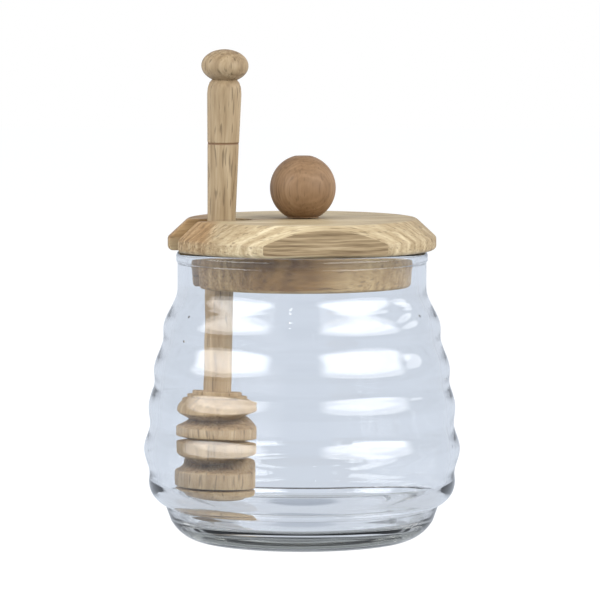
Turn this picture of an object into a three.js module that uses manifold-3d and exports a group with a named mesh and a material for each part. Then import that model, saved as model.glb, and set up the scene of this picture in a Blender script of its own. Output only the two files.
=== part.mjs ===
// A honey pot: a clear glass jar with beehive rings, a wooden lid with a ball knob, and a wooden dipper that
// stands in the jar through a slot in the lid.
// Millimetres, +Z up. The origin is the middle of the jar's foot, on the table, and the front looks along -Y.
import * as THREE from "three";
import { mergeVertices } from "three/addons/utils/BufferGeometryUtils.js";
import Module from "manifold-3d";

const wasm = await Module();
wasm.setup();

// Driving dimensions of the jar
const jarHeight = 101;
const wall = 3;
const neckRadius = 43.5;
const neckLow = 86.4;
const rimRadius = 44.1;
const rimTall = 3.6;
const footTop = [47.9, 11.4];
const heelTop = [46.1, 6.4];
const standRadius = 38.3;
const hollowRadius = 33;
const hollowDepth = 0.9;
const floorHeight = 6.2;
const floorRadius = 36;

// The corners towards which the round stretches of the jar's outline are pulled, as [radius, height]
const bellyCorner = [53.6, 14.6];
const heelCorner = [44.4, 1];
const innerBelly = [50.2, 17.4];
const innerHeel = [43.4, 6.2];

// The beehive rings, from the neck down: a crest and the groove under it, each as [radius, height]
const rings = [
  { crest: [48.7, 73.6], groove: [48.4, 70.4] },
  { crest: [52.0, 58.8], groove: [51.5, 55.3] },
  { crest: [53.8, 46.2], groove: [53.1, 39.9] },
  { crest: [55.5, 31.5], groove: [53.3, 23.1] },
];
const lastCrest = [53.7, 20.3];
const crease = [48.5, 12];
const innerCrease = [46.6, 14.3];
const innerWallLow = [44.4, 9.2];
const outerFlankSteps = 3;
const innerFlankSteps = 2;

// Driving dimensions of the lid
const gap = 0.3;
const lidRadius = 46.9;
const lidThickness = 10.8;
const chamferWidth = 6.9;
const chamferHeight = 6.4;
const lowEdgeRound = 1.5;
const plugRadius = 38.3;
const plugDepth = 12.5;
const plugEdgeRound = 1;
const slotWidth = 12;
const slotTurn = -74;
const slotEnd = 24.3;
const flatTurn = 11.2;
const flatDistance = 41.6;

// Driving dimensions of the knob, a ball with a flat base and a small flat top
const knobRadius = 11.5;
const knobBaseRadius = 6;
const knobTopRadius = 2.8;

// Driving dimensions of the dipper, measured along it from its tip
const dipperLength = 164.8;
const dipperLean = 1.34;
const dipperReach = 31.1;
const dipperTurn = -75;
const headRadius = 13.9;
const bowlRadius = 12.4;
const grooveHeights = [11.4, 19.8, 28, 36];
const grooveRadius = 9.4;
const grooveHalf = 1.6;
const bevel = 0.9;
const headTop = 42.2;
const headTopRadius = 11;
const collars = [
  { radius: 10.6, top: 44 },
  { radius: 8.4, top: 46.4 },
];
const collarBevel = 0.7;

// The dipper's rod and handle above the head, as [radius, height], up to the neck under its round end
const handle = [
  [4.8, 46.8],
  [4.8, 78.8],
  [4.95, 108.8],
  [5.45, 132.8],
  [5.95, 149.4],
  [5.75, 151.6],
  [5.2, 153.2],
];
const endRadius = 8.2;
const endHalfHeight = 5.7;

const jarSegments = 48;
const lidSegments = 64;
const knobSegments = 28;
const dipperSegments = 24;

// The rise from a groove to a crest: soft at the groove, round at the crest
function rise(t) {
  return Math.sin((Math.PI / 2) * t ** 1.25);
}

// Points on a flank of a ring, from one turning point to the next, without the first
function flank([fromR, fromZ], [toR, toZ], steps) {
  const points = [];
  for (let i = 1; i <= steps; i++) {
    const t = i / steps;
    const climb = toR > fromR ? rise(t) : 1 - rise(1 - t);
    points.push([fromR + (toR - fromR) * climb, fromZ + (toZ - fromZ) * t]);
  }
  return points;
}

// The ringed side of the jar, from the neck down to the last crest, drawn in by inset
function ringedSide(inset, steps) {
  let last = [neckRadius, neckLow];
  const points = [last];
  for (const { crest, groove } of rings) {
    points.push(...flank(last, crest, steps), ...flank(crest, groove, steps));
    last = groove;
  }
  points.push(...flank(last, lastCrest, steps));
  return points.map(([r, z]) => [r - inset, z]);
}

// Points on a quarter of an ellipse or a bend, from a to b pulled towards the corner, without the first
function bend(a, corner, b, steps) {
  const curve = new THREE.QuadraticBezierCurve(...[a, corner, b].map(([r, z]) => new THREE.Vector2(r, z)));
  return curve.getPoints(steps).slice(1).map(({ x, y }) => [x, y]);
}

// Points on an arc round (centreR, centreZ), by angles in degrees from the outward direction
function arc(centreR, centreZ, radius, from, to, steps) {
  const points = [];
  for (let i = 0; i <= steps; i++) {
    const angle = THREE.MathUtils.degToRad(from + ((to - from) * i) / steps);
    points.push([centreR + radius * Math.cos(angle), centreZ + radius * Math.sin(angle)]);
  }
  return points;
}

// A solid of revolution about Z. The outline starts and ends on the axis, and runs with the solid on its left.
function turned(outline, segments) {
  const points = outline.map(([r, z]) => new THREE.Vector2(r, z));
  return new THREE.LatheGeometry(points, segments).rotateX(Math.PI / 2);
}

// The way from the axis that lies turn degrees to the right of the front
function directionAt(turn) {
  const angle = THREE.MathUtils.degToRad(turn);
  return new THREE.Vector3(Math.sin(angle), -Math.cos(angle), 0);
}

function toSolid(geometry) {
  const bare = geometry.clone();
  bare.deleteAttribute("normal");
  bare.deleteAttribute("uv");
  const merged = mergeVertices(bare);
  const vertProperties = merged.attributes.position.array;
  const triVerts = new Uint32Array(merged.index.array);
  return new wasm.Manifold(new wasm.Mesh({ numProp: 3, vertProperties, triVerts }));
}

function toGeometry(solid) {
  const { vertProperties, triVerts } = solid.getMesh();
  const geometry = new THREE.BufferGeometry();
  geometry.setAttribute("position", new THREE.BufferAttribute(vertProperties, 3));
  geometry.setIndex(new THREE.BufferAttribute(triVerts, 1));
  geometry.computeVertexNormals();
  return geometry;
}

function part(name, geometry, material) {
  const mesh = new THREE.Mesh(geometry, material);
  mesh.name = name;
  return mesh;
}

// The jar: a thick clear foot set in under the belly, five rings, a straight neck and a beaded rim, all one piece of glass
function makeJar() {
  const outside = [
    ...arc(rimRadius - rimTall / 2, jarHeight - rimTall / 2, rimTall / 2, 90, -60, 5),
    ...ringedSide(0, outerFlankSteps),
    ...bend(lastCrest, bellyCorner, crease, 4),
    footTop,
    heelTop,
    ...bend(heelTop, heelCorner, [standRadius, 0], 4),
    [hollowRadius, 0],
    [hollowRadius - 2 * hollowDepth, hollowDepth],
    [0, hollowDepth],
  ];
  const innerSide = ringedSide(wall, innerFlankSteps);
  const inside = [
    [neckRadius - wall, jarHeight - rimTall / 4],
    ...innerSide,
    ...bend(innerSide.at(-1), innerBelly, innerCrease, 3),
    innerWallLow,
    ...bend(innerWallLow, innerHeel, [floorRadius, floorHeight], 3),
    [0, floorHeight],
  ];
  const glass = new THREE.MeshStandardMaterial({
    color: "#e4e8f2",
    roughness: 0.03,
    metalness: 0,
    transparent: true,
    opacity: 0.3,
  });
  return part("glass_jar", turned([...outside.reverse(), ...inside], jarSegments), glass);
}

// The cutter of the slot, a channel with a round inner end that runs out through the lid's edge
function slotCutter() {
  const half = slotWidth / 2;
  const beyond = lidRadius + half;
  const outline = new THREE.Shape();
  outline.moveTo(beyond, -half);
  outline.lineTo(beyond, half);
  outline.lineTo(slotEnd, half);
  outline.absarc(slotEnd, 0, half, Math.PI / 2, (3 * Math.PI) / 2, false);
  outline.closePath();
  const depth = lidThickness + plugDepth + 2 * slotWidth;
  const cutter = new THREE.ExtrudeGeometry(outline, { depth, curveSegments: 6, bevelEnabled: false });
  const out = directionAt(slotTurn);
  return cutter.translate(0, 0, -plugDepth - slotWidth).rotateZ(Math.atan2(out.y, out.x));
}

// The cutter of the flat at the front of the lid's edge
function flatCutter() {
  const size = 2 * lidRadius;
  const out = directionAt(flatTurn);
  const block = new THREE.BoxGeometry(size, size, size);
  return block.translate(flatDistance + size / 2, 0, 0).rotateZ(Math.atan2(out.y, out.x));
}

// The lid, from the underside of its disc: a chamfered disc and a plug that drops into the neck, one piece
function makeLid() {
  const discTopRadius = lidRadius - chamferWidth;
  const outline = [
    [0, -plugDepth],
    ...arc(plugRadius - plugEdgeRound, plugEdgeRound - plugDepth, plugEdgeRound, -90, 0, 2),
    [plugRadius, 0],
    ...arc(lidRadius - lowEdgeRound, lowEdgeRound, lowEdgeRound, -90, 0, 3),
    [lidRadius, lidThickness - chamferHeight],
    [discTopRadius, lidThickness],
    [0, lidThickness],
  ];
  const blank = toSolid(turned(outline, lidSegments));
  const lid = blank.subtract(toSolid(slotCutter())).subtract(toSolid(flatCutter()));
  const wood = new THREE.MeshStandardMaterial({ color: "#c4a478", roughness: 0.55, metalness: 0 });
  return part("lid", toGeometry(lid), wood);
}

// The knob, from its flat base
function makeKnob() {
  const centre = Math.sqrt(knobRadius ** 2 - knobBaseRadius ** 2);
  const low = -THREE.MathUtils.radToDeg(Math.acos(knobBaseRadius / knobRadius));
  const high = THREE.MathUtils.radToDeg(Math.acos(knobTopRadius / knobRadius));
  const ball = arc(0, centre, knobRadius, low, high, 10);
  const top = centre + Math.sqrt(knobRadius ** 2 - knobTopRadius ** 2);
  const wood = new THREE.MeshStandardMaterial({ color: "#a37f61", roughness: 0.5, metalness: 0 });
  return part("knob", turned([[0, 0], ...ball, [0, top]], knobSegments), wood);
}

// The dipper's head: a round bottom, discs with V grooves between them, and two small collars
function dipperHead() {
  const edge = headRadius - bevel;
  const outline = bend([0, 0], [bowlRadius, 0], [edge, grooveHeights[0] - grooveHalf], 4);
  grooveHeights.forEach((height, i) => {
    if (i) outline.push([headRadius, height - grooveHalf - bevel], [edge, height - grooveHalf]);
    outline.push([grooveRadius, height], [edge, height + grooveHalf], [headRadius, height + grooveHalf + bevel]);
  });
  outline.push(...bend(outline.at(-1), [headRadius, headTop], [headTopRadius, headTop], 3));
  let low = headTop;
  for (const { radius, top } of collars) {
    outline.push([radius, low], [radius, top - collarBevel], [radius - collarBevel, top]);
    low = top;
  }
  return outline;
}

// The dipper, one turned piece: head, slim rod, handle that swells upwards, and a small round end
function makeDipper() {
  const middle = dipperLength - endHalfHeight;
  const end = arc(0, 0, 1, -62, 80, 7).map(([x, z]) => [x * endRadius, middle + z * endHalfHeight]);
  const outline = [[0, 0], ...dipperHead(), ...handle, ...end, [0, dipperLength]];
  const wood = new THREE.MeshStandardMaterial({ color: "#c3a37e", roughness: 0.6, metalness: 0 });
  return part("dipper", turned(outline, dipperSegments), wood);
}

const lidGroup = new THREE.Group();
lidGroup.position.z = jarHeight + gap;
const knob = makeKnob();
knob.position.z = lidThickness + gap;
lidGroup.add(makeLid(), knob);

const dipperGroup = new THREE.Group();
dipperGroup.position.copy(directionAt(dipperTurn)).multiplyScalar(dipperReach);
dipperGroup.position.z = floorHeight + gap;
dipperGroup.rotation.y = THREE.MathUtils.degToRad(dipperLean);
dipperGroup.add(makeDipper());

const honeyPot = new THREE.Group();
honeyPot.add(makeJar(), lidGroup, dipperGroup);

export default honeyPot;
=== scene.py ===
# A honey pot: a clear glass jar with beehive rings, a slotted wooden lid with a ball knob, and a wooden
# dipper that stands in the slot. Outlines and places are in millimetres, as [radius, height] from the jar's
# axis and foot, and MM turns them into Blender's metres. The front looks along -Y.
import math

import bpy
from mathutils import Matrix, Quaternion, Vector, noise


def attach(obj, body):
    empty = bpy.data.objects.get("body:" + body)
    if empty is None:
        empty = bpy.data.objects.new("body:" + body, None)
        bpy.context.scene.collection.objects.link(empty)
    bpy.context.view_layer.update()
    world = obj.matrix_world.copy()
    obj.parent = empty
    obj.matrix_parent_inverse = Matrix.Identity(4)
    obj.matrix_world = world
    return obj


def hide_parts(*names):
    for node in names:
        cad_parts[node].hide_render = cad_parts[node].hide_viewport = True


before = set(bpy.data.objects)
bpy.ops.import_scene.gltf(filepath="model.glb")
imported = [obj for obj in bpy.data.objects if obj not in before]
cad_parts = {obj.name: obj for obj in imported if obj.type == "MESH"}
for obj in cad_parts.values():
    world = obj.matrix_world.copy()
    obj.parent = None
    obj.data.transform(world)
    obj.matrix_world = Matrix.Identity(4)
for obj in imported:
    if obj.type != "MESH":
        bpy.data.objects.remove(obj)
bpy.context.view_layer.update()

MM = 0.001
TINY = 1e-6

# The jar's outside, from the rim down. A corner is the point that a bend is pulled towards
JAR_HEIGHT = 101
RIM_RADIUS = 43.95
RIM_TALL = 3.9
RIM_ROUND = 1.9
RIM_UNDER = 0.6
RIM_CORNER = 0.1
NECK_RADIUS = 43.5
NECK_EASE = 1
NECK_LOW = 86.4
RINGS = (
    {"crest": (48.7, 73.6), "groove": (48.4, 70.4)},
    {"crest": (52.0, 58.8), "groove": (51.5, 55.3)},
    {"crest": (53.8, 46.2), "groove": (53.1, 39.9)},
    {"crest": (55.5, 31.5), "groove": (53.3, 23.1)},
)
GROOVE_SOFTNESS = 1.4
LAST_CREST = (53.7, 20.3)
BELLY_CORNER = (53.6, 14.6)
CREASE = (48.5, 12)
CREASE_CORNER = (47.9, 11.9)
FOOT_TOP = (47.9, 11.4)
FOOT_CORNER = (47, 8.9)
HEEL_TOP = (46.1, 6.4)
HEEL_CORNER = (43.2, 1.6)
STAND_RADIUS = 38.3
HOLLOW_RADIUS = 33
HOLLOW_DEPTH = 0.9
HOLLOW_EASE = 1.2

# The jar's inside, from the lip down
WALL = 3
LIP_EASE = 1.2
LIP_DROP = 1.5
INNER_BELLY = (50.3, 18.0)
INNER_CREASE = (47.9, 15.7)
INNER_CREASE_CORNER = (46.1, 14.0)
INNER_WALL = ((45.4, 11.8), (44.4, 9.2))
FLOOR_HEIGHT = 6.2
FLOOR_RADIUS = 36
FLOOR_CORNER = (43.4, FLOOR_HEIGHT)
FLOOR_RINGS = (0.75, 0.5, 0.25)

# How finely the jar is made, and how far its outside and its inside are evened out
JAR_SEGMENTS = 224
FLANK_STEPS = 12
SIDE_STEP = 0.5
OUTER_FLOW = 1.3
INNER_FLOW = 2.2

# The unevenness of the glass: its depth outside and inside, and the size of its pattern
OUTER_WAVES = 0.03
INNER_WAVES = 0.09
WAVE_ROUND = 2.2
WAVE_TALL = 14
WAVE_SHIFT = 9
NECK_MARGIN = 4

# Bubbles in the wall, as (degrees right of the front, height, radius)
BUBBLES = (
    (-58, 79.3, 0.5),
    (-58.4, 71.2, 0.45),
    (62, 79.3, 0.5),
    (78, 56.9, 0.4),
    (-76, 31.9, 0.4),
    (76, 33, 0.5),
)
BUBBLE_SEGMENTS = 12

# The glass: its surface tints by height, with painted shade at the heel, and what its body takes from light
# that goes through it
GLASS_CLEAR = (0.98, 0.985, 0.99)
# Painted shade: the darker band of the heel
GLASS_HEEL_PAINTED_SHADE = (0.375, 0.385, 0.34)
GLASS_TINTS_AND_HEEL_SHADE = ((1, GLASS_CLEAR), (1.8, GLASS_HEEL_PAINTED_SHADE), (4, GLASS_HEEL_PAINTED_SHADE), (6, GLASS_CLEAR))
GLASS_TINT_TOP = 10
GLASS_IOR = 1.5
GLASS_BODY = (0.08, 0.07, 0.0)
GLASS_DENSITY = 6

# The lid, with heights from the underside of its disc. GAP keeps each resting thing clear of what carries it
GAP = 0.3
LID_LOW = JAR_HEIGHT + GAP
LID_RADIUS = 46.9
LID_THICKNESS = 10.8
CHAMFER_WIDTH = 6.9
CHAMFER_HEIGHT = 6.4
LOW_EDGE_ROUND = 1.5
PLUG_RADIUS = 39.0
PLUG_TAPER = 0.7
PLUG_DEPTH = 12.5
PLUG_EDGE_ROUND = 1.4
SLOT_WIDTH = 12
SLOT_TURN = -74
SLOT_END = 24.3
MOUTH_EASE = 0.9
FLAT_TURN = 11.2
FLAT_DISTANCE = 41.6
FLAT_EASE = 0.12
FLAT_LOW_INSET = 0.7
FLAT_LOW_ROUND = 0.8
EDGE_EASE = 0.5

# How finely the lid is made, and how far from a crisp edge an extra outline keeps it crisp
LID_EDGE_STEPS = 720
SLOT_WALL_STEPS = 10
CHAMFER_STEPS = 60
PLUG_TOP_CRISP = 0.4
DISC_CRISP = 0.5
CAP_INSET = 0.8

# The marks of the lid: where they start and end, how strong they are, and the tints that multiply its
# colour. The browner left end is the board's own. The paler front of the chamfer is painted light, the
# darker front of the plug is painted shade, and the flat's grain lines lie in browns darkened as painted
# shade. FACING is how squarely a surface faces a mark's way where the mark starts and where it is full
LEFT_BROWN_EDGE = (-27, -22)
LEFT_BROWN_RISE = (LID_LOW + 3.4, LID_LOW + 5)
LEFT_BROWN_WANDER = 12
LEFT_BROWN_STRENGTH = 0.95
LEFT_BROWN_LOW_SHARE = 0.35
LEFT_BROWN = (0.78, 0.62, 0.47)
PALE_FRONT_MIDDLE = -13
PALE_FRONT_ENDS = (12, 26)
PALE_FRONT_DEPTH = (-36, -33)
# Painted light: how much paler and cooler the chamfer's front is made
CHAMFER_FRONT_PAINTED_LIGHT = (1.17, 1.2, 1.24)
PLUG_FADE = 2
PLUG_DULL = (1.04, 0.94, 0.78)
PLUG_BROWN_TURN = -8
PLUG_BROWN_FACING = (0.84, 0.97)
PLUG_BROWN_REACH = (30, 31)
# Painted shade: how much darker the plug's front is made
PLUG_FRONT_PAINTED_SHADE = (0.51, 0.39, 0.22)
FLAT_FACING = (0.93, 0.97)
FLAT_REACH = (40.5, 41.5)
FLAT_LINES = {"scale": 1100, "detail": 3, "roughness": 0.65}
FLAT_LINE_ALONG = 0.035
FLAT_LINE_WAVES = 6
# The flat's tones: grain lines in browns darkened as painted shade
FLAT_GRAIN_AND_SHADE_TONES = ((0.34, (0.115, 0.072, 0.034)), (0.5, (0.255, 0.182, 0.098)), (0.64, (0.37, 0.28, 0.165)))

# The knob
KNOB_RADIUS = 11.5
KNOB_BASE_RADIUS = 6
KNOB_TOP_RADIUS = 2.8
KNOB_FOOT = (5.6, 0.5)
KNOB_SHIFT = 0.3

# The dipper, measured along it from its tip
DIPPER_LENGTH = 164.8
DIPPER_LEAN = 1.34
DIPPER_REACH = 31.5
DIPPER_TURN = -75
TIP_HEIGHT = FLOOR_HEIGHT + GAP
HEAD_RADIUS = 13.9
BOWL_CORNER = (13.4, 0)
GROOVES = (
    {"height": 11.8, "half": 0.5, "radius": 10.4},
    {"height": 20.9, "half": 1.4, "radius": 9.5},
    {"height": 29.1, "half": 1.3, "radius": 9.4},
    {"height": 36.2, "half": 1.6, "radius": 9.2},
)
BEVEL = 0.4
GROOVE_EASE = 0.2
HEAD_SHOULDER = 41.0
HEAD_TOP = 43.4
HEAD_TOP_RADIUS = 9.8
COLLARS = ((10.4, 44.8), (8.5, 47.2))
COLLAR_EASE = 0.6
BURNT_LINE = 132.2
HANDLE = (
    (4.8, 47.8),
    (4.8, 78.8),
    (4.95, 108.8),
    (5.45, BURNT_LINE - 0.3),
    (5.25, BURNT_LINE),
    (5.5, BURNT_LINE + 0.3),
    (5.95, 149.4),
    (5.75, 151.6),
    (5.2, 153.2),
)
HANDLE_EASE = 0.5
END_RADIUS = 8.2
END_HALF_HEIGHT = 5.7
END_ANGLES = (-58, 86)
TURNED_SEGMENTS = 96

# The marks of the dipper: its lower half, paler as painted light, by height above the foot, and the burnt
# line
PALE_HALF_START = (20, 45)
PALE_HALF_END = (95, 115)
PALE_TIP_SHARE = 0.3
# Painted light: how much paler the lower half inside the jar is made
LOWER_HALF_PAINTED_LIGHT = (1.48, 1.47, 1.5)
BURNT_HALF_WIDTH = 0.55
BURNT_STRENGTH = 1.6
BURNT_BROWN = (0.16, 0.09, 0.045)

# The patterns of the wood. along is how fast one changes down the grain, against across it
DRIFT = {"along": 0.3, "scale": 55, "reach": 7}
FIBRES = {"along": 0.05, "scale": 1500, "detail": 2, "roughness": 0.7}
CLOUDS = {"along": 0.35, "scale": 60, "detail": 2, "roughness": 0.5}
PORES = {"along": 0.11, "scale": 1150, "detail": 1, "roughness": 0.4}
END_DOTS = {"along": 0.4, "scale": 1000, "detail": 2, "roughness": 0.6}
STREAKS = {"scale": 700, "detail": 2, "roughness": 0.6}
STREAK_ALONG = 0.05
STREAK_ROUND = 0.25
UNEVEN_RINGS = {"detail": 3, "roughness": 0.6}
UNEVEN_RATE = 0.9

# What the uneven rings, the streaks, the clouds and the fibres each add to the wood's tone, and its surface
TONE_WEIGHTS = (0.8, 1.1, 0.6, 0.6)
MIDDLE_TONE = 0.42
PORE_EDGE = (0.6, 0.7)
PORE_SHADE = 0.6
END_DOT_EDGE = (0.38, 0.62)
END_TINT = (0.6, 0.5, 0.38)
NOISE_MIDDLE = 0.5
FIBRE_RELIEF = 0.4
GRAIN_DEPTH = 0.15
GRAIN_STRENGTH = 0.4
STREAK_RANGE = (0.3, 0.7)
WOOD_ROUGHNESS = (0.5, 0.64)
WOOD_SPECULAR = 0.3

# The studio: the table's tones by their distance from the jar's axis, the room's from behind the pot to its
# sides, how far in front of the pot it dims, and where the lights aim and how square their glow is
TABLE_HALF = 3000
TABLE_DROP = 0.02
ROOM_TONE = (0.7, 0.76, 0.855)
UNDER_JAR = (0.68, 0.73, 0.81)
JAR_SHADE = (0.6, 0.64, 0.7)
TABLE_TONES = (
    (11, (0.3, 0.34, 0.42)),
    (15, UNDER_JAR),
    (30, UNDER_JAR),
    (38, JAR_SHADE),
    (48, JAR_SHADE),
    (80, ROOM_TONE),
)
TABLE_TONE_REACH = 100
TABLE_GLOW = 0.93
TABLE_GREY = (0.12, 0.12, 0.12)
ROOM_TONES = ((0.0, ROOM_TONE), (0.6, (0.66, 0.71, 0.79)), (0.97, (0.42, 0.45, 0.49)))
ROOM_FRONT = (-0.25, 0.1)
ROOM_FRONT_DIM = (0.6, 1)
LIGHT_AIM = 60
GLOW_POWERS = (1.5, 2.4)

# The camera, and what its picture shows at its middle
CAMERA_PLACE = (-0.7, -1573, 219)
CAMERA_AIM_HEIGHT = 83.4
FOCAL_PIXELS = 4515
PICTURE_PIXELS = 600
SENSOR_WIDTH = 36


def rise(t):
    """The rise from a groove to a crest: soft at the groove, round at the crest."""
    return math.sin(math.pi / 2 * t**GROOVE_SOFTNESS)


def flank(start, end, steps):
    """Points on a flank of a ring, from one turning point to the next, without the first."""
    points = []
    for i in range(1, steps + 1):
        t = i / steps
        climb = rise(t) if end[0] > start[0] else 1 - rise(1 - t)
        points.append((start[0] + (end[0] - start[0]) * climb, start[1] + (end[1] - start[1]) * t))
    return points


def ringed_side(inset):
    """The ringed side of the jar, from the neck down to the last crest, drawn in by inset."""
    last = (NECK_RADIUS, NECK_LOW)
    points = [last]
    for ring in RINGS:
        points += flank(last, ring["crest"], FLANK_STEPS)
        points += flank(ring["crest"], ring["groove"], FLANK_STEPS)
        last = ring["groove"]
    points += flank(last, LAST_CREST, FLANK_STEPS)
    return [(r - inset, z) for r, z in points]


def radius_at(outline, height):
    """The radius at a height of an outline that only goes down."""
    for (r0, z0), (r1, z1) in zip(outline, outline[1:]):
        if z1 <= height <= z0:
            return r0 + (r1 - r0) * (z0 - height) / max(z0 - z1, TINY)
    return outline[-1][0]


def softened(outline, reach):
    """A downward outline at even steps of height, its radii evened out over reach, so that its grooves and
    crests flow."""
    high, low = outline[0][1], outline[-1][1]
    count = round((high - low) / SIDE_STEP)
    heights = [high + (low - high) * i / count for i in range(count + 1)]
    radii = [radius_at(outline, z) for z in heights]
    for _ in range(round(2 * (reach / SIDE_STEP) ** 2)):
        inner = [(a + 2 * b + c) / 4 for a, b, c in zip(radii, radii[1:], radii[2:])]
        radii = [radii[0], *inner, radii[-1]]
    return list(zip(radii, heights))


def bend(start, corner, end, steps):
    """Points from start to end, pulled towards the corner, without the first."""
    points = []
    for i in range(1, steps + 1):
        t = i / steps
        weights = ((1 - t) ** 2, 2 * t * (1 - t), t**2)
        points.append(tuple(sum(w * p[k] for w, p in zip(weights, (start, corner, end))) for k in range(2)))
    return points


def arc(centre, radius, start, end, steps):
    """Points on an arc, by angles in degrees from the outward direction."""
    angles = [math.radians(start + (end - start) * i / steps) for i in range(steps + 1)]
    return [(centre[0] + radius * math.cos(a), centre[1] + radius * math.sin(a)) for a in angles]


def eased(outline, ease, steps=4, most=0.45):
    """The outline with each inner corner rounded off over the distance ease, or over the share most of a
    shorter side."""
    points = [outline[0]]
    for before, corner, after in zip(outline, outline[1:], outline[2:]):
        near = []
        for other in (before, after):
            span = math.dist(corner, other)
            share = min(ease, most * span) / span
            near.append(tuple(c + (o - c) * share for c, o in zip(corner, other)))
        points.append(near[0])
        points += bend(near[0], corner, near[1], steps)
    points.append(outline[-1])
    return points


def direction_at(turn):
    """The way from the axis that lies turn degrees to the right of the front."""
    angle = math.radians(turn)
    return Vector((math.sin(angle), -math.cos(angle), 0))


def add_piece(name, verts, faces, material, node, sharp=None):
    """A smooth mesh piece in place of a node. Edges that turn more than sharp degrees stay crisp."""
    mesh = bpy.data.meshes.new(name)
    mesh.from_pydata([Vector(v) * MM for v in verts], [], faces)
    mesh.validate()
    mesh.shade_smooth()
    if sharp:
        mesh.set_sharp_from_angle(angle=math.radians(sharp))
    mesh.materials.append(material)
    piece = bpy.data.objects.new(name, mesh)
    bpy.context.scene.collection.objects.link(piece)
    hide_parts(node)
    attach(piece, "root")
    return piece


def spun(outline, segments, place=None, shift=None):
    """Vertices and faces of an outline spun about Z. It starts and ends on the axis, with the solid on its
    left. place moves the finished piece, and shift gives each point's small step outwards from its radius,
    height and angle."""
    verts = [(0, 0, outline[0][1])]
    rings = outline[1:-1]
    for r, z in rings:
        for i in range(segments):
            angle = math.tau * i / segments
            out = r + (shift(r, z, angle) if shift else 0)
            verts.append((out * math.cos(angle), out * math.sin(angle), z))
    verts.append((0, 0, outline[-1][1]))
    faces = []
    last = len(verts) - 1
    top = 1 + (len(rings) - 1) * segments
    for i in range(segments):
        j = (i + 1) % segments
        faces.append((0, 1 + j, 1 + i))
        faces.append((last, top + i, top + j))
        for k in range(len(rings) - 1):
            low = 1 + k * segments
            high = low + segments
            faces.append((low + i, low + j, high + j, high + i))
    if place:
        verts = [place @ Vector(v) for v in verts]
    return verts, faces


def node_tree(name):
    """A new material and its emptied node tree, with the output node."""
    material = bpy.data.materials.new(name)
    material.use_nodes = True
    tree = material.node_tree
    tree.nodes.clear()
    return material, tree, tree.nodes.new("ShaderNodeOutputMaterial")


def add_node(tree, kind, links=None, values=None):
    """A node with its linked inputs and its set inputs."""
    new = tree.nodes.new(kind)
    for name, value in (values or {}).items():
        new.inputs[name].default_value = value
    for name, source in (links or {}).items():
        tree.links.new(source, new.inputs[name])
    return new


def set_sources(tree, node, sources):
    """Gives a node's inputs their sources, each a socket, a plain value or none."""
    for socket, source in zip(node.inputs, sources):
        if isinstance(source, bpy.types.NodeSocket):
            tree.links.new(source, socket)
        elif source is not None:
            socket.default_value = source


def math_node(tree, operation, first, second=None, clamp=False):
    """The output of a Math node on two sources, each a socket or a number."""
    new = tree.nodes.new("ShaderNodeMath")
    new.operation = operation
    new.use_clamp = clamp
    set_sources(tree, new, (first, second))
    return new.outputs[0]


def vector_math(tree, operation, first, second=None, output="Vector"):
    """An output of a Vector Math node on two sources, each a socket or a plain vector."""
    new = tree.nodes.new("ShaderNodeVectorMath")
    new.operation = operation
    set_sources(tree, new, (first, second))
    return new.outputs[output]


def product(tree, first, *others):
    """The product of several sources, each a socket or a number."""
    for other in others:
        first = math_node(tree, "MULTIPLY", first, other)
    return first


def map_range(tree, source, low, high, to_low=0.0, to_high=1.0):
    """The source taken from low..high to to_low..to_high, and held there outside it."""
    values = {"From Min": low, "From Max": high, "To Min": to_low, "To Max": to_high}
    return add_node(tree, "ShaderNodeMapRange", links={"Value": source}, values=values).outputs[0]


def fade(tree, source, places, start=0.0, end=1.0):
    """A value that goes from start to end as the source goes between two places in millimetres."""
    return map_range(tree, source, places[0] * MM, places[1] * MM, start, end)


def separated(tree, vector):
    """The three parts of a vector."""
    return add_node(tree, "ShaderNodeSeparateXYZ", links={0: vector}).outputs


def combined(tree, **parts):
    """A vector from sockets for some of its parts, by the names X, Y and Z."""
    return add_node(tree, "ShaderNodeCombineXYZ", links=parts).outputs[0]


def noise_fac(tree, vector, scale, detail, roughness):
    """The grey output of a noise texture, about 0.5 with small swings."""
    values = {"Scale": scale, "Detail": detail, "Roughness": roughness}
    return add_node(tree, "ShaderNodeTexNoise", links={"Vector": vector}, values=values).outputs["Fac"]


def stretched(tree, vector, along):
    """Coordinates in which a pattern comes out 1 / along times as long down the grain as across it."""
    values = {"Scale": (along, 1, 1)}
    return add_node(tree, "ShaderNodeMapping", links={"Vector": vector}, values=values).outputs[0]


def grain_pattern(tree, vector, along, **settings):
    """A noise pattern drawn out along the grain."""
    return noise_fac(tree, stretched(tree, vector, along), **settings)


def ramp(tree, source, stops):
    """The colour output of a ramp through (position, colour) stops."""
    new = tree.nodes.new("ShaderNodeValToRGB")
    elements = new.color_ramp.elements
    while len(elements) < len(stops):
        elements.new(0.5)
    for element, (position, colour) in zip(elements, stops):
        element.position = position
        element.color = (*colour, 1)
    tree.links.new(source, new.inputs[0])
    return new.outputs[0]


def blend_colour(tree, mode, factor, first, second):
    """The colour output of a mix of two sources, each a socket or a colour."""
    new = tree.nodes.new("ShaderNodeMix")
    new.data_type = "RGBA"
    new.blend_type = mode
    for name, source in (("Factor", factor), ("A", first), ("B", second)):
        kinds = [s for s in new.inputs if s.name == name and s.enabled]
        if isinstance(source, bpy.types.NodeSocket):
            tree.links.new(source, kinds[0])
        elif isinstance(source, (int, float)):
            kinds[0].default_value = source
        else:
            kinds[0].default_value = (*source, 1)
    return next(s for s in new.outputs if s.enabled)


def mixed_by_ray(tree, ray, others, chosen):
    """The output of a mix that gives one kind of ray the chosen shader, and all other rays the other one."""
    path = tree.nodes.new("ShaderNodeLightPath")
    links = {0: path.outputs[ray], 1: others.outputs[0], 2: chosen.outputs[0]}
    return add_node(tree, "ShaderNodeMixShader", links=links).outputs[0]


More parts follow.
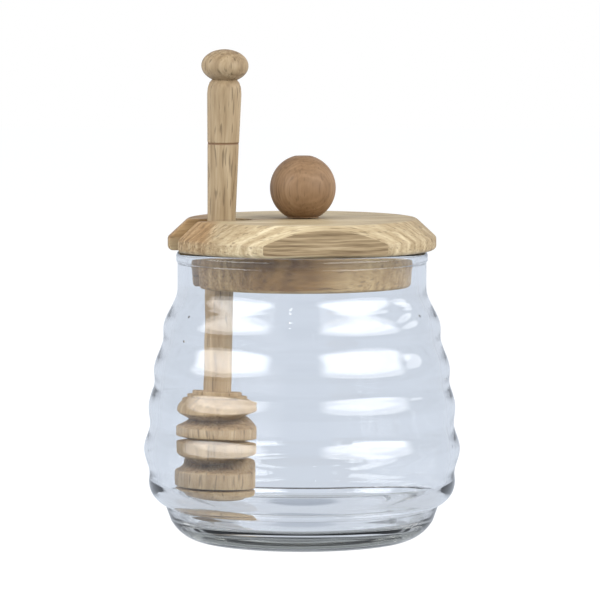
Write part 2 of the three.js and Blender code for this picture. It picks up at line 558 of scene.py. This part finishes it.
def glass_material():
    """Clear glass with a faint cool tint and painted shade at its heel, that lets lamps light what is behind
    it.
    """
    material, tree, output = node_tree("clear_glass")
    place = tree.nodes.new("ShaderNodeTexCoord").outputs["Object"]
    height = fade(tree, separated(tree, place)["Z"], (0, GLASS_TINT_TOP))
    # The ramp's darker band at the heel is painted shade.
    tint_and_shade = ramp(tree, height, [(z / GLASS_TINT_TOP, colour) for z, colour in GLASS_TINTS_AND_HEEL_SHADE])
    glass = add_node(
        tree,
        "ShaderNodeBsdfPrincipled",
        links={"Base Color": tint_and_shade},
        values={"Roughness": 0.0, "IOR": GLASS_IOR, "Transmission Weight": 1.0},
    )
    open_way = add_node(tree, "ShaderNodeBsdfTransparent", values={"Color": (1, 1, 1, 1)})
    tree.links.new(mixed_by_ray(tree, "Is Shadow Ray", glass, open_way), output.inputs["Surface"])
    values = {"Color": (*GLASS_BODY, 1), "Density": GLASS_DENSITY}
    body = add_node(tree, "ShaderNodeVolumeAbsorption", values=values)
    tree.links.new(body.outputs[0], output.inputs["Volume"])
    return material


def grain_coordinates(tree, place, run, pith):
    """Coordinates with X along the grain and the pith at nought: straight ones, and ones that wander as a
    tree grows."""
    turn = run.to_track_quat("X", "Z").to_matrix().inverted()
    straight = add_node(
        tree,
        "ShaderNodeMapping",
        links={"Vector": place},
        values={"Rotation": turn.to_euler(), "Location": -(turn @ (pith * MM))},
    ).outputs[0]
    slow = stretched(tree, straight, DRIFT["along"])
    drift = add_node(tree, "ShaderNodeTexNoise", links={"Vector": slow}, values={"Scale": DRIFT["scale"]})
    drift = vector_math(tree, "SUBTRACT", drift.outputs["Color"], (NOISE_MIDDLE,) * 3)
    drift = vector_math(tree, "MULTIPLY", drift, (DRIFT["reach"] * MM,) * 3)
    return straight, vector_math(tree, "ADD", straight, drift)


def grain_streaks(tree, wander, radius, distance):
    """Streaks that run along the grain and lie in the growth rings, at a distance from the pith."""
    parts = separated(tree, wander)
    lengthways = product(tree, parts["X"], STREAK_ALONG)
    round_pith = product(tree, math_node(tree, "ARCTAN2", parts["Z"], parts["Y"]), distance * STREAK_ROUND)
    return noise_fac(tree, combined(tree, X=lengthways, Y=radius, Z=round_pith), **STREAKS)


def end_grain(tree, straight, normal, run):
    """The share of end grain on a surface, in dots, by how far it faces along the grain."""
    facing = vector_math(tree, "DOT_PRODUCT", normal, run, output="Value")
    end = math_node(tree, "POWER", math_node(tree, "ABSOLUTE", facing), 2.0)
    return product(tree, map_range(tree, grain_pattern(tree, straight, **END_DOTS), *END_DOT_EDGE), end)


def wood_material(name, tones, grain, pith, ring_width, rings, pores, contrast, end_shade, marks=None):
    """Bare, fine-pored, oiled hardwood. tones are its colours from pale to dark, grain is the way it runs,
    and pith is a point on the line that the growth rings lie round. rings, pores, contrast and end_shade
    set how strongly each shows, and marks adds what one piece has of its own."""
    material, tree, output = node_tree(name)
    coords = tree.nodes.new("ShaderNodeTexCoord").outputs
    place = coords["Object"]
    run = Vector(grain).normalized()
    pith = Vector(pith)
    straight, wander = grain_coordinates(tree, place, run, pith)

    across = vector_math(tree, "MULTIPLY", wander, (0, 1, 1))
    radius = vector_math(tree, "LENGTH", across, output="Value")
    ring_wave = math_node(tree, "SINE", product(tree, radius, math.tau / (ring_width * MM)))
    uneven = noise_fac(tree, combined(tree, X=radius), UNEVEN_RATE / (ring_width * MM), **UNEVEN_RINGS)
    fibres = grain_pattern(tree, wander, **FIBRES)
    streaks = grain_streaks(tree, wander, radius, ((pith - run * pith.dot(run)) * MM).length)
    clouds = grain_pattern(tree, wander, **CLOUDS)

    tone = product(tree, ring_wave, rings)
    for source, weight in zip((uneven, streaks, clouds, fibres), TONE_WEIGHTS):
        part = product(tree, math_node(tree, "SUBTRACT", source, NOISE_MIDDLE), weight)
        tone = math_node(tree, "ADD", tone, part)
    tone = math_node(tree, "ADD", product(tree, tone, contrast), MIDDLE_TONE)
    colour = ramp(tree, tone, [(i / (len(tones) - 1), c) for i, c in enumerate(tones)])
    pits = map_range(tree, grain_pattern(tree, wander, **PORES), *PORE_EDGE, 0, pores)
    colour = blend_colour(tree, "MIX", pits, colour, [c * PORE_SHADE for c in tones[-1]])
    dots = product(tree, end_grain(tree, straight, coords["Normal"], run), end_shade)
    colour = blend_colour(tree, "MULTIPLY", dots, colour, END_TINT)
    if marks:
        colour = marks(tree, place, clouds, colour)

    height = math_node(tree, "SUBTRACT", product(tree, fibres, FIBRE_RELIEF), pits)
    values = {"Strength": GRAIN_STRENGTH, "Distance": GRAIN_DEPTH * MM}
    bump = add_node(tree, "ShaderNodeBump", links={"Height": height}, values=values).outputs[0]
    sheen = map_range(tree, streaks, *STREAK_RANGE, *WOOD_ROUGHNESS)
    shader = add_node(
        tree,
        "ShaderNodeBsdfPrincipled",
        links={"Base Color": colour, "Roughness": sheen, "Normal": bump},
        values={"Specular IOR Level": WOOD_SPECULAR},
    )
    tree.links.new(shader.outputs[0], output.inputs["Surface"])
    return material


def drifted(tree, source, clouds, reach):
    """The source moved by the clouds, by up to reach in millimetres."""
    return math_node(tree, "ADD", source, product(tree, clouds, reach * MM))


def flat_lines(tree, x, z, clouds):
    """The colour of the nearly level grain lines that the board shows where the flat cuts it, in browns
    darkened as painted shade of the upright flat.
    """
    waves = drifted(tree, z, clouds, FLAT_LINE_WAVES)
    lines = combined(tree, X=product(tree, x, FLAT_LINE_ALONG), Z=waves)
    return ramp(tree, noise_fac(tree, lines, **FLAT_LINES), FLAT_GRAIN_AND_SHADE_TONES)


def lid_marks(tree, place, clouds, colour):
    """The lid's marks: the board's browner left end, a paler front of the chamfer that is painted light, a
    duller plug whose front is darker as painted shade, and the flat's grain lines in browns darkened as
    painted shade."""
    normal = tree.nodes.new("ShaderNodeTexCoord").outputs["Normal"]
    x, y, z = separated(tree, place)
    plug = fade(tree, z, (LID_LOW - PLUG_FADE, LID_LOW), 1.0, 0.0)
    disc = math_node(tree, "SUBTRACT", 1.0, plug)

    left = fade(tree, drifted(tree, x, clouds, LEFT_BROWN_WANDER), LEFT_BROWN_EDGE, LEFT_BROWN_STRENGTH, 0.0)
    high = fade(tree, z, LEFT_BROWN_RISE, LEFT_BROWN_LOW_SHARE, 1.0)
    colour = blend_colour(tree, "MULTIPLY", product(tree, left, high), colour, LEFT_BROWN)

    # Painted light: the front of the chamfer made paler and cooler where the lights fall on it.
    aside = math_node(tree, "ABSOLUTE", math_node(tree, "SUBTRACT", x, PALE_FRONT_MIDDLE * MM))
    middle = fade(tree, aside, PALE_FRONT_ENDS, 1.0, 0.0)
    front = product(tree, middle, fade(tree, y, PALE_FRONT_DEPTH, 1.0, 0.0), disc)
    colour = blend_colour(tree, "MULTIPLY", front, colour, CHAMFER_FRONT_PAINTED_LIGHT)
    colour = blend_colour(tree, "MULTIPLY", plug, colour, PLUG_DULL)

    # Painted shade: the flat's grain lines take darker browns, and the plug's front is darkened.
    browns = (
        ("MIX", disc, FLAT_TURN, FLAT_FACING, FLAT_REACH, flat_lines(tree, x, z, clouds)),
        ("MULTIPLY", plug, PLUG_BROWN_TURN, PLUG_BROWN_FACING, PLUG_BROWN_REACH, PLUG_FRONT_PAINTED_SHADE),
    )
    for mode, part, turn, squareness, places, shade in browns:
        way = direction_at(turn)
        facing = vector_math(tree, "DOT_PRODUCT", normal, way, output="Value")
        reach = vector_math(tree, "DOT_PRODUCT", place, way, output="Value")
        brown = product(tree, map_range(tree, facing, *squareness), part, fade(tree, reach, places))
        colour = blend_colour(tree, mode, brown, colour, shade)
    return colour


def dipper_marks(tree, place, clouds, colour):
    """The burnt line round the handle, and the lower half, inside the jar, made paler as painted light."""
    height = separated(tree, place)["Z"]
    # Painted light: the lower half, which stands in the jar, made paler.
    start = fade(tree, height, PALE_HALF_START, PALE_TIP_SHARE, 1.0)
    end = fade(tree, height, PALE_HALF_END, 1.0, 0.0)
    colour = blend_colour(tree, "MULTIPLY", product(tree, end, start), colour, LOWER_HALF_PAINTED_LIGHT)
    far = math_node(tree, "ABSOLUTE", math_node(tree, "SUBTRACT", height, (TIP_HEIGHT + BURNT_LINE) * MM))
    far = math_node(tree, "DIVIDE", far, BURNT_HALF_WIDTH * MM)
    line = math_node(tree, "SUBTRACT", 1.0, far, clamp=True)
    line = math_node(tree, "MULTIPLY", line, BURNT_STRENGTH, clamp=True)
    return blend_colour(tree, "MIX", line, colour, BURNT_BROWN)


def wavy_glass(r, z, angle):
    """Small unevenness of moulded glass, always inwards and stronger on the inside."""
    low_inside = r < LAST_CREST[0] - WALL / 2 and z < NECK_LOW - NECK_MARGIN
    inside = r < NECK_RADIUS - WALL / 2 or low_inside
    height = z / WAVE_TALL + (WAVE_SHIFT if inside else 0)
    spot = Vector((math.cos(angle) * WAVE_ROUND, math.sin(angle) * WAVE_ROUND, height))
    return -(INNER_WAVES if inside else OUTER_WAVES) * (1 + noise.noise(spot))


def jar_outside():
    """The jar's outline from the top of the rim down the outside to the middle of its underside."""
    rim_low = JAR_HEIGHT - RIM_TALL
    neck_top = (NECK_RADIUS, rim_low - NECK_EASE)
    rim_corner = (RIM_RADIUS, rim_low + RIM_CORNER)
    rim_foot = (NECK_RADIUS + 2 * RIM_CORNER, rim_low)
    neck_corner = (NECK_RADIUS, rim_low - RIM_CORNER)
    hollow = [
        (STAND_RADIUS, 0),
        (HOLLOW_RADIUS, 0),
        (HOLLOW_RADIUS - 2 * HOLLOW_DEPTH, HOLLOW_DEPTH),
        (0, HOLLOW_DEPTH),
    ]
    points = arc((RIM_RADIUS - RIM_ROUND, JAR_HEIGHT - RIM_ROUND), RIM_ROUND, 90, 0, steps=14)
    points += [(RIM_RADIUS, rim_low + RIM_UNDER)]
    points += bend(points[-1], rim_corner, rim_foot, steps=5)
    points += bend(points[-1], neck_corner, neck_top, steps=5)[:-1]
    points += softened([neck_top, *ringed_side(0)], OUTER_FLOW)
    points += bend(LAST_CREST, BELLY_CORNER, CREASE, steps=14)
    points += bend(CREASE, CREASE_CORNER, FOOT_TOP, steps=4)
    points += bend(FOOT_TOP, FOOT_CORNER, HEEL_TOP, steps=6)
    points += bend(HEEL_TOP, HEEL_CORNER, (STAND_RADIUS, 0), steps=16)
    return points + eased(hollow, HOLLOW_EASE)[1:]


def jar_inside():
    """The jar's outline from the lip down the inside to the middle of its floor."""
    lip = (NECK_RADIUS - WALL + LIP_EASE, JAR_HEIGHT - LIP_EASE)
    neck = (NECK_RADIUS - WALL, JAR_HEIGHT - LIP_EASE - LIP_DROP)
    wall_top, wall_low = INNER_WALL
    points = arc(lip, LIP_EASE, 95, 175, steps=8)
    points += softened([neck, *ringed_side(WALL)], INNER_FLOW)
    points += bend(points[-1], INNER_BELLY, INNER_CREASE, steps=12)
    points += bend(INNER_CREASE, INNER_CREASE_CORNER, wall_top, steps=8)
    points += [wall_low]
    points += bend(wall_low, FLOOR_CORNER, (FLOOR_RADIUS, FLOOR_HEIGHT), steps=12)
    points += [(FLOOR_RADIUS * share, FLOOR_HEIGHT) for share in FLOOR_RINGS]
    return [*points, (0, FLOOR_HEIGHT)]


def make_jar():
    """The jar, one piece of glass: foot, rings, neck and beaded rim outside, its hollow inside, and its
    bubbles."""
    verts, faces = spun([*reversed(jar_outside()), *jar_inside()], JAR_SEGMENTS, shift=wavy_glass)
    side = ringed_side(WALL / 2)
    for turn, height, radius in BUBBLES:
        place = Matrix.Translation(direction_at(turn) * radius_at(side, height) + Vector((0, 0, height)))
        hole_verts, hole_faces = spun(arc((0, 0), radius, -90, 90, steps=8), BUBBLE_SEGMENTS, place)
        first = len(verts)
        verts += hole_verts
        faces += [tuple(first + i for i in reversed(face)) for face in hole_faces]
    return add_piece("jar_glass", verts, faces, glass_material(), "glass_jar")


def soft_least(a, b, width):
    """The smaller of a and b, rounded over width where they meet."""
    h = min(max(0.5 + 0.5 * (b - a) / width, 0), 1)
    return b + (a - b) * h - width * h * (1 - h)


def lid_outline(radius, height, grow, flat):
    """One closed outline of the lid at a height: round the edge from one side of the slot to the other, with
    the flat cut off where the edge faces its way, then in along the slot and out again. grow widens the
    slot."""
    half = SLOT_WIDTH / 2 + grow
    flat_angle = math.radians(FLAT_TURN - SLOT_TURN)
    mouth = math.asin(half / radius)
    start = mouth + MOUTH_EASE / radius
    points = []
    for i in range(LID_EDGE_STEPS + 1):
        angle = start + (math.tau - 2 * start) * i / LID_EDGE_STEPS
        facing = math.cos(angle - flat_angle)
        out = soft_least(radius, flat / facing, FLAT_EASE) if facing > 0.5 else radius
        points.append((out * math.cos(angle), out * math.sin(angle)))
    corner = (radius * math.cos(mouth), -half)
    inner = (corner[0] - MOUTH_EASE, -half)
    points += bend(points[-1], corner, inner, steps=5)
    for i in range(1, SLOT_WALL_STEPS + 1):
        points.append((inner[0] + (SLOT_END - inner[0]) * i / SLOT_WALL_STEPS, -half))
    points += arc((SLOT_END, 0), half, 270, 90, steps=24)[1:]
    for i in range(1, SLOT_WALL_STEPS + 1):
        points.append((SLOT_END + (inner[0] - SLOT_END) * i / SLOT_WALL_STEPS, half))
    points += bend(points[-1], (corner[0], half), points[0], steps=5)[:-1]
    turn = math.radians(SLOT_TURN - 90)
    return [
        (x * math.cos(turn) - y * math.sin(turn), x * math.sin(turn) + y * math.cos(turn), LID_LOW + height)
        for x, y in points
    ]


def plug_levels():
    """The outlines of the plug, up to the underside of the disc."""
    round_radius = PLUG_RADIUS - PLUG_TAPER - PLUG_EDGE_ROUND
    levels = [(round_radius - CAP_INSET, -PLUG_DEPTH, EDGE_EASE + CAP_INSET, FLAT_DISTANCE)]
    for r, z in arc((round_radius, PLUG_EDGE_ROUND - PLUG_DEPTH), PLUG_EDGE_ROUND, -90, 0, steps=6):
        share = max(1 - (z + PLUG_DEPTH) / EDGE_EASE, 0)
        levels.append((r, z, EDGE_EASE * share**2, FLAT_DISTANCE))
    return [*levels, (PLUG_RADIUS, -PLUG_TOP_CRISP, 0, FLAT_DISTANCE)]


def disc_levels():
    """The outlines of the disc: underside, low edge, chamfer and top."""
    low_edge = LID_RADIUS - LOW_EDGE_ROUND
    underside = (PLUG_RADIUS, PLUG_RADIUS + DISC_CRISP, low_edge - DISC_CRISP)
    levels = [(r, 0, 0, FLAT_DISTANCE - FLAT_LOW_INSET) for r in underside]
    for r, z in arc((low_edge, LOW_EDGE_ROUND), LOW_EDGE_ROUND, -90, 0, steps=8):
        inset = FLAT_LOW_INSET * max(1 - z / FLAT_LOW_ROUND, 0) ** 2
        levels.append((r, z, 0, FLAT_DISTANCE - inset))
    chamfer_low = (LID_RADIUS, LID_THICKNESS - CHAMFER_HEIGHT)
    chamfer_top = (LID_RADIUS - CHAMFER_WIDTH, LID_THICKNESS)
    slope = (chamfer_top[0] - chamfer_low[0]) / (chamfer_top[1] - chamfer_low[1])
    ease_low = (LID_RADIUS, chamfer_low[1] - EDGE_EASE)
    ease_high = (LID_RADIUS + slope * EDGE_EASE, chamfer_low[1] + EDGE_EASE)
    eased_edge = [ease_low, *bend(ease_low, chamfer_low, ease_high, steps=6)]
    levels += [(r, z, 0, FLAT_DISTANCE) for r, z in eased_edge]
    top_start = (chamfer_top[0] - slope * EDGE_EASE, LID_THICKNESS - EDGE_EASE)
    for i in range(1, CHAMFER_STEPS + 1):
        t = i / CHAMFER_STEPS
        level = [a + (b - a) * t for a, b in zip(ease_high, top_start)]
        levels.append((*level, 0, FLAT_DISTANCE))
    top_end = (chamfer_top[0] - EDGE_EASE, LID_THICKNESS)
    eased_top = bend(top_start, chamfer_top, top_end, steps=6)
    for i, (r, z) in enumerate(eased_top, 1):
        levels.append((r, z, EDGE_EASE * (i / len(eased_top)) ** 2, FLAT_DISTANCE))
    return [*levels, (top_end[0] - CAP_INSET, LID_THICKNESS, EDGE_EASE + CAP_INSET, FLAT_DISTANCE)]


def make_lid():
    """The lid: disc, chamfer, flat, plug and slot in one skin over its outlines."""
    outlines = [lid_outline(*level) for level in (*plug_levels(), *disc_levels())]
    count = len(outlines[0])
    verts = [point for outline in outlines for point in outline]
    faces = [tuple(reversed(range(count)))]
    for k in range(len(outlines) - 1):
        for i in range(count):
            j = (i + 1) % count
            low = k * count
            faces.append((low + i, low + j, low + count + j, low + count + i))
    faces.append(tuple(range(len(verts) - count, len(verts))))
    wood = wood_material(
        "lid_wood",
        tones=((0.51, 0.42, 0.27), (0.33, 0.25, 0.142), (0.165, 0.103, 0.048)),
        grain=direction_at(FLAT_TURN + 90),
        pith=direction_at(FLAT_TURN) * -110 + Vector((0, 0, LID_LOW + 8)),
        ring_width=3.4,
        rings=0.1,
        pores=0.5,
        contrast=1.1,
        end_shade=0.9,
        marks=lid_marks,
    )
    return add_piece("lid_body", verts, faces, wood, "lid", sharp=24)


def make_knob():
    """The knob: a ball on a short foot, with a small flat top."""
    centre = KNOB_FOOT[1] + math.sqrt(KNOB_RADIUS**2 - KNOB_BASE_RADIUS**2)
    low = -math.degrees(math.acos(KNOB_BASE_RADIUS / KNOB_RADIUS))
    high = math.degrees(math.acos(KNOB_TOP_RADIUS / KNOB_RADIUS))
    ball = arc((0, centre), KNOB_RADIUS, low, high, steps=48)
    outline = [(0, 0), (KNOB_FOOT[0], 0), KNOB_FOOT, *ball, (0, ball[-1][1])]
    place = Matrix.Translation((KNOB_SHIFT, 0, LID_LOW + LID_THICKNESS + GAP))
    verts, faces = spun(outline, TURNED_SEGMENTS, place)
    wood = wood_material(
        "knob_wood",
        tones=((0.29, 0.182, 0.099), (0.216, 0.127, 0.063), (0.127, 0.07, 0.032)),
        grain=(0.03, 0, 1),
        pith=(-14, 89, 0),
        ring_width=0.9,
        rings=0.12,
        pores=0.35,
        contrast=0.8,
        end_shade=0.5,
    )
    return add_piece("knob_ball", verts, faces, wood, "knob", sharp=45)


def dipper_outline():
    """The dipper's outline: round bottom, discs with V grooves between them, collars, rod, handle and end."""
    first = GROOVES[0]
    mouth = (HEAD_RADIUS, first["height"] - first["half"] - BEVEL)
    points = [(0, 0), *bend((0, 0), BOWL_CORNER, mouth, steps=12)]
    corners = []
    for groove in GROOVES:
        height, half = groove["height"], groove["half"]
        corners += [(HEAD_RADIUS, height - half - BEVEL), (HEAD_RADIUS - BEVEL, height - half)]
        corners += [(groove["radius"], height)]
        corners += [(HEAD_RADIUS - BEVEL, height + half), (HEAD_RADIUS, height + half + BEVEL)]
    points += eased(corners, GROOVE_EASE)[1:]
    points += bend(points[-1], (HEAD_RADIUS, HEAD_SHOULDER), (HEAD_TOP_RADIUS, HEAD_TOP), steps=10)
    low = HEAD_TOP
    collars = []
    for radius, top in COLLARS:
        collars += [(radius, low), (radius, top)]
        low = top
    rod_foot = (HANDLE[0][0], low)
    points += eased([points[-1], *collars, rod_foot, HANDLE[1]], COLLAR_EASE)[1:-1]
    points += eased(HANDLE[1:], HANDLE_EASE)
    middle = DIPPER_LENGTH - END_HALF_HEIGHT
    for x, z in arc((0, 0), 1, *END_ANGLES, steps=28):
        points.append((x * END_RADIUS, middle + z * END_HALF_HEIGHT))
    return [*points, (0, DIPPER_LENGTH)]


def make_dipper():
    """The honey dipper, one turned piece of wood, leaning in the slot."""
    base = direction_at(DIPPER_TURN) * DIPPER_REACH + Vector((0, 0, TIP_HEIGHT))
    lean = math.radians(DIPPER_LEAN)
    place = Matrix.Translation(base) @ Matrix.Rotation(lean, 4, "Y")
    verts, faces = spun(dipper_outline(), TURNED_SEGMENTS, place)
    wood = wood_material(
        "dipper_wood",
        tones=((0.39, 0.3, 0.183), (0.28, 0.2, 0.112), (0.15, 0.095, 0.047)),
        grain=(math.sin(lean), 0, 1),
        pith=(-60, 22, 0),
        ring_width=3.0,
        rings=0.07,
        pores=0.6,
        contrast=1.0,
        end_shade=0.6,
        marks=dipper_marks,
    )
    return add_piece("dipper_turned", verts, faces, wood, "dipper", sharp=40)


def table_material():
    """Near white to the camera, and a cool pale grey in the glass, darker where the jar shades it."""
    material, tree, output = node_tree("table_white")
    place = tree.nodes.new("ShaderNodeTexCoord").outputs["Object"]
    reach = vector_math(tree, "LENGTH", place, output="Value")
    stops = [(distance / TABLE_TONE_REACH, colour) for distance, colour in TABLE_TONES]
    tint_and_shade = ramp(tree, fade(tree, reach, (0, TABLE_TONE_REACH)), stops)
    cool = add_node(tree, "ShaderNodeEmission", links={"Color": tint_and_shade}, values={"Strength": 1.0})
    white = add_node(tree, "ShaderNodeEmission", values={"Color": (1, 1, 1, 1), "Strength": TABLE_GLOW})
    pale = add_node(tree, "ShaderNodeBsdfDiffuse", values={"Color": (*TABLE_GREY, 1)})
    seen = add_node(tree, "ShaderNodeAddShader", links={0: white.outputs[0], 1: pale.outputs[0]})
    tree.links.new(mixed_by_ray(tree, "Is Camera Ray", cool, seen), output.inputs["Surface"])
    return material


def make_stage():
    """The pale table that the pot stands on."""
    half = TABLE_HALF * MM
    corners = [(-half, -half, 0), (half, -half, 0), (half, half, 0), (-half, half, 0)]
    mesh = bpy.data.meshes.new("table")
    mesh.from_pydata(corners, [], [(0, 1, 2, 3)])
    mesh.materials.append(table_material())
    table = bpy.data.objects.new("table", mesh)
    bpy.context.scene.collection.objects.link(table)
    table.location.z = -TABLE_DROP * MM


def make_world():
    """The studio round the pot: pale and cool behind it, darker at the sides and in front, and white where
    the camera looks past."""
    world = bpy.data.worlds.new("studio")
    bpy.context.scene.world = world
    world.use_nodes = True
    tree = world.node_tree
    tree.nodes.clear()
    output = tree.nodes.new("ShaderNodeOutputWorld")
    x, y, _ = separated(tree, tree.nodes.new("ShaderNodeTexCoord").outputs["Generated"])
    shade = ramp(tree, math_node(tree, "ABSOLUTE", x), ROOM_TONES)
    front = map_range(tree, y, *ROOM_FRONT, *ROOM_FRONT_DIM)
    room = add_node(tree, "ShaderNodeBackground", links={"Color": shade, "Strength": front})
    white = add_node(tree, "ShaderNodeBackground", values={"Color": (1, 1, 1, 1), "Strength": 1.0})
    tree.links.new(mixed_by_ray(tree, "Is Camera Ray", room, white), output.inputs["Surface"])


def add_softbox(name, turn, height, size, radiance, fade_share, roll=0, distance=1.0):
    """A soft light that faces the pot, by its turn to the right of the front and its angle of height. size is
    its width and height in metres. Its glow has rounded corners, and dims over the outer fade_share of its
    size. roll turns it in its own plane."""
    data = bpy.data.lights.new(name, "AREA")
    data.shape = "RECTANGLE"
    data.size, data.size_y = size
    data.energy = radiance * math.pi * size[0] * size[1]
    data.use_nodes = True
    tree = data.node_tree
    spot = separated(tree, tree.nodes.new("ShaderNodeNewGeometry").outputs["Parametric"])
    powers = []
    for share, power in zip(spot, GLOW_POWERS):
        middle = math_node(tree, "SUBTRACT", product(tree, share, 2), 1)
        powers.append(math_node(tree, "POWER", math_node(tree, "ABSOLUTE", middle), power))
    rim = math_node(tree, "ADD", *powers)
    tree.links.new(map_range(tree, rim, 1 - fade_share, 1, 1, 0), tree.nodes["Emission"].inputs["Strength"])
    light = bpy.data.objects.new(name, data)
    bpy.context.scene.collection.objects.link(light)
    rise_angle = math.radians(height)
    out = direction_at(turn) * math.cos(rise_angle) + Vector((0, 0, math.sin(rise_angle)))
    light.location = Vector((0, 0, LIGHT_AIM * MM)) + out * distance
    rolled = out.to_track_quat("Z", "Y") @ Quaternion((0, 0, 1), math.radians(roll))
    light.rotation_euler = rolled.to_euler()
    light.visible_camera = False
    return light


def make_lights():
    """Two wide boxes in front, a strip at the right and a small lamp, which all glint on the glass. Two soft
    lights in front make no glints. A box overhead, a fill at each side and a card below light only what is
    not behind glass."""
    add_softbox("left_box", -65, 28, (1.4, 0.62), radiance=4.3, fade_share=0.35, roll=12)
    add_softbox("right_box", 54, 28, (1.5, 0.62), radiance=4.3, fade_share=0.35, roll=-8)
    add_softbox("right_strip", 106, 21, (0.5, 0.15), radiance=3.0, fade_share=0.4)
    add_softbox("small_lamp", -12, 41, (0.045, 0.045), radiance=10.0, fade_share=0.5)
    soft = (
        add_softbox("left_soft", -60, 38, (1.0, 0.8), radiance=1.7, fade_share=0.2),
        add_softbox("right_soft", 50, 38, (1.0, 0.8), radiance=2.2, fade_share=0.2),
    )
    bare_only = (
        add_softbox("top_box", 2, 62, (0.7, 0.45), radiance=1.2, fade_share=0.1),
        add_softbox("left_fill", -105, 15, (0.8, 0.8), radiance=1.0, fade_share=0.5),
        add_softbox("right_fill", 105, 15, (0.8, 0.8), radiance=2.6, fade_share=0.5),
        add_softbox("low_card", 0, -89, (0.8, 0.8), radiance=0.36, fade_share=0.1, distance=0.05),
    )
    for light in (*soft, *bare_only):
        light.visible_glossy = False
    for light in bare_only:
        light.visible_transmission = False


def make_camera():
    """The camera of the photograph: far off, a little above the lid, and looking slightly down."""
    data = bpy.data.cameras.new("photo_view")
    data.sensor_width = SENSOR_WIDTH
    data.lens = FOCAL_PIXELS / PICTURE_PIXELS * SENSOR_WIDTH
    data.clip_start = 0.05
    data.clip_end = 60
    camera = bpy.data.objects.new("photo_view", data)
    bpy.context.scene.collection.objects.link(camera)
    camera.location = Vector(CAMERA_PLACE) * MM
    drop = math.atan2(CAMERA_PLACE[2] - CAMERA_AIM_HEIGHT, -CAMERA_PLACE[1])
    camera.rotation_euler = (math.pi / 2 - drop, 0, 0)
    bpy.context.scene.camera = camera


def set_light_paths():
    """Enough bounces for light through both walls of the jar, and true tones."""
    scene = bpy.context.scene
    scene.cycles.max_bounces = 24
    scene.cycles.transmission_bounces = 24
    scene.cycles.glossy_bounces = 8
    scene.cycles.diffuse_bounces = 3
    scene.cycles.caustics_reflective = False
    scene.cycles.caustics_refractive = True
    scene.cycles.use_denoising = True
    scene.view_settings.view_transform = "Standard"


make_camera()
make_jar()
make_lid()
make_knob()
make_dipper()
make_stage()
make_world()
make_lights()
set_light_paths()
